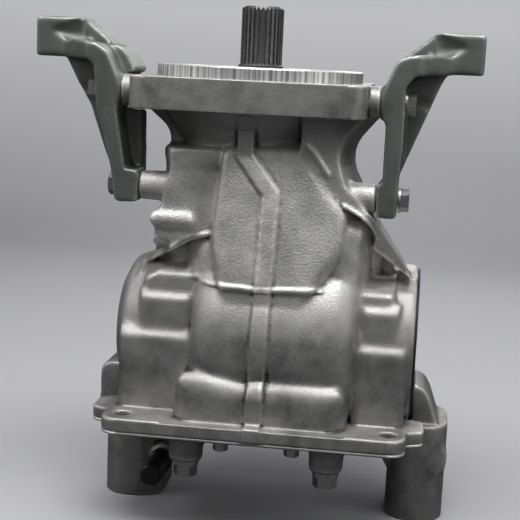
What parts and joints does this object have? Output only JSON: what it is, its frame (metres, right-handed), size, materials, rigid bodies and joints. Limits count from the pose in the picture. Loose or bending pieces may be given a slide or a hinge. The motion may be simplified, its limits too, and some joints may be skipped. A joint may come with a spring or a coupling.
{
  "type": "differential carrier",
  "caption": "Cast carrier that holds a bevel gear differential, with a splined input shaft on top, side outputs, a bottom cover on two legs and two bolted mount brackets.",
  "frame": {"origin": "on the plane of the feet, below the input axis", "axes": "+Z along the input shaft towards its spline, +X along the output axis towards the ring gear's side, +Y to the rear, away from the long rib"},
  "size_m": [0.34, 0.2072, 0.3965],
  "materials": {
    "cast_aluminium": "as cast, satin, orange-peel texture",
    "bracket_aluminium": "as cast, smoother and darker",
    "machined_steel": "turned",
    "phosphated_steel": "dark phosphated",
    "gear_steel": "ground and oiled",
    "thrust_bronze": "plain",
    "case_iron": "machined casting",
    "bearing_steel": "ground",
    "zinc_steel": "zinc plated",
    "soft_aluminium": "plain",
    "seal_rubber": "matt black",
    "black_plastic": "matt black"
  },
  "bodies": {
    "housing": {"carrier_housing": "cast_aluminium", "rear_cover": "cast_aluminium", "left_mount_bracket": "bracket_aluminium", "right_mount_bracket": "bracket_aluminium", "pilot_disc": "machined_steel", "left_bearing_adjuster": "machined_steel", "right_bearing_adjuster": "machined_steel", "left_seal_carrier": "machined_steel", "right_seal_carrier": "machined_steel", "pinion_head_bearing_cup": "bearing_steel", "pinion_tail_bearing_cup": "bearing_steel", "left_side_bearing_cup": "bearing_steel", "right_side_bearing_cup": "bearing_steel", "cover_bolts": "zinc_steel", "bracket_bolts": "zinc_steel", "pilot_screws": "zinc_steel", "drain_plug": "zinc_steel", "fill_plug": "zinc_steel", "breather_fitting": "zinc_steel", "plug_washers": "soft_aluminium", "input_seal": "seal_rubber", "left_output_seal": "seal_rubber", "right_output_seal": "seal_rubber", "right_boss_ring": "seal_rubber", "breather_cap": "black_plastic"},
    "pinion": {"drive_pinion": "phosphated_steel", "pinion_head_bearing_cone": "bearing_steel", "pinion_tail_bearing_cone": "bearing_steel", "crush_sleeve": "phosphated_steel", "pinion_nut": "phosphated_steel"},
    "differential_case": {"diff_case": "case_iron", "ring_gear": "gear_steel", "ring_gear_bolts": "zinc_steel", "cross_pin": "gear_steel", "thrust_washers": "thrust_bronze", "left_side_bearing_cone": "bearing_steel", "right_side_bearing_cone": "bearing_steel"},
    "left_side_gear_body": {"left_side_gear": "gear_steel"},
    "right_side_gear_body": {"right_side_gear": "gear_steel"},
    "upper_spider_gear_body": {"upper_spider_gear": "gear_steel"},
    "lower_spider_gear_body": {"lower_spider_gear": "gear_steel"}
  },
  "joints": [
    {"name": "case_spin", "type": "hinge", "parent": "housing", "child": "differential_case", "pos_m": [0, 0, 0.14], "axis": [1, 0, 0], "continuous": true},
    {"name": "pinion_spin", "type": "hinge", "parent": "housing", "child": "pinion", "pos_m": [0, 0, 0.3], "axis": [0, 0, 1], "continuous": true},
    {"name": "left_side_gear_spin", "type": "hinge", "parent": "differential_case", "child": "left_side_gear_body", "pos_m": [0.008, 0, 0.14], "axis": [1, 0, 0], "continuous": true},
    {"name": "right_side_gear_spin", "type": "hinge", "parent": "differential_case", "child": "right_side_gear_body", "pos_m": [0.008, 0, 0.14], "axis": [1, 0, 0], "continuous": true},
    {"name": "upper_spider_spin", "type": "hinge", "parent": "differential_case", "child": "upper_spider_gear_body", "pos_m": [0.008, 0, 0.14], "axis": [0, 0, 1], "continuous": true},
    {"name": "lower_spider_spin", "type": "hinge", "parent": "differential_case", "child": "lower_spider_gear_body", "pos_m": [0.008, 0, 0.14], "axis": [0, 0, 1], "continuous": true}
  ],
  "couplings": [
    {"joint": "pinion_spin", "follows": "case_spin", "ratio": -3.0769},
    {"joint": "right_side_gear_spin", "follows": "left_side_gear_spin", "ratio": -1},
    {"joint": "upper_spider_spin", "follows": "left_side_gear_spin", "ratio": 1.6},
    {"joint": "lower_spider_spin", "follows": "left_side_gear_spin", "ratio": -1.6}
  ]
}
